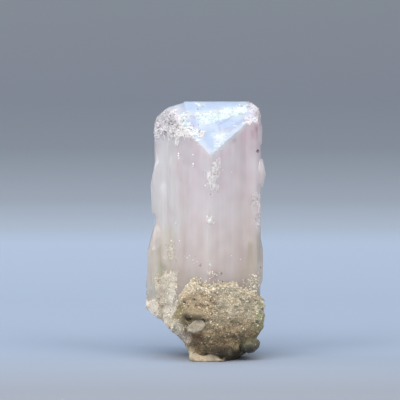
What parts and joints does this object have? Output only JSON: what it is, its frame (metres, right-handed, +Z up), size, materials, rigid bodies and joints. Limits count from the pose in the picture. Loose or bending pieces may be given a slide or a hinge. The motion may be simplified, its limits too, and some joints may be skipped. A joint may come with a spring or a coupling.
{
  "type": "danburite crystal",
  "caption": "Upright pale pink prismatic mineral crystal with a roof-shaped end, its broken lower end wrapped in a tan drusy crust that stands on a small flat foot.",
  "frame": {"origin": "centre of the bounding box in plan, at the level of the foot's flat underside", "axes": "+Z up along the crystal's long axis (c axis), +X to the right in the picture (b axis), -Y towards the viewer (a axis)"},
  "size_m": [0.0278, 0.0272, 0.06],
  "materials": {
    "danburite": "pale pink, milky and translucent, striated sides, glassy end face with frosted corners",
    "druse": "tan, sugary granular crust, dull with small sparkling grains"
  },
  "bodies": {
    "root": {"danburite_crystal": "danburite", "drusy_matrix": "druse"}
  },
  "joints": []
}
